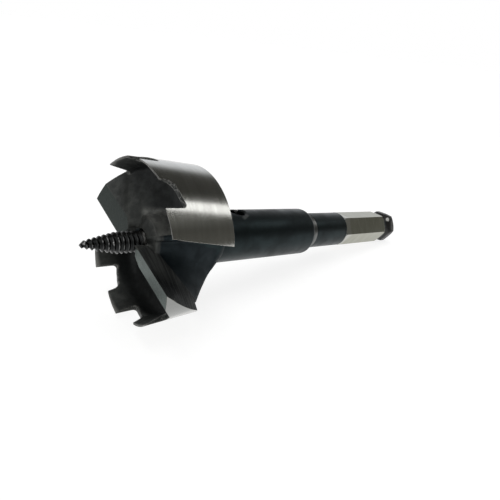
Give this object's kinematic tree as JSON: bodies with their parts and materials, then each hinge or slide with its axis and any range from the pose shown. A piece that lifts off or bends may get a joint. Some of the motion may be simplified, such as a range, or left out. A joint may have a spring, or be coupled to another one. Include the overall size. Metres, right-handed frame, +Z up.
{
  "type": "self-feed wood bit",
  "caption": "Toothed cutter head with two lips on a stepped shank with a hexagonal end, and a threaded feed screw held in the head by a small set screw.",
  "frame": {"origin": "on the floor, under the centre of the bounding box, with the bit lying at rest", "axes": "+Z up; the feed screw points towards -X and the shank's end towards +X; the shank's axis slopes down towards +X by about 8.6 degrees, because the rear edge of the rim and one flat of the hex rest on the floor"},
  "size_m": [0.133, 0.0434, 0.0455],
  "materials": {
    "black_oxide_steel": "black oxide, with the rim and the lips' lands ground bright",
    "blackened_thread_steel": "blackened",
    "socket_screw_steel": "blackened"
  },
  "bodies": {
    "root": {"cutter_body": "black_oxide_steel", "feed_screw": "blackened_thread_steel", "set_screw": "socket_screw_steel"}
  },
  "joints": []
}
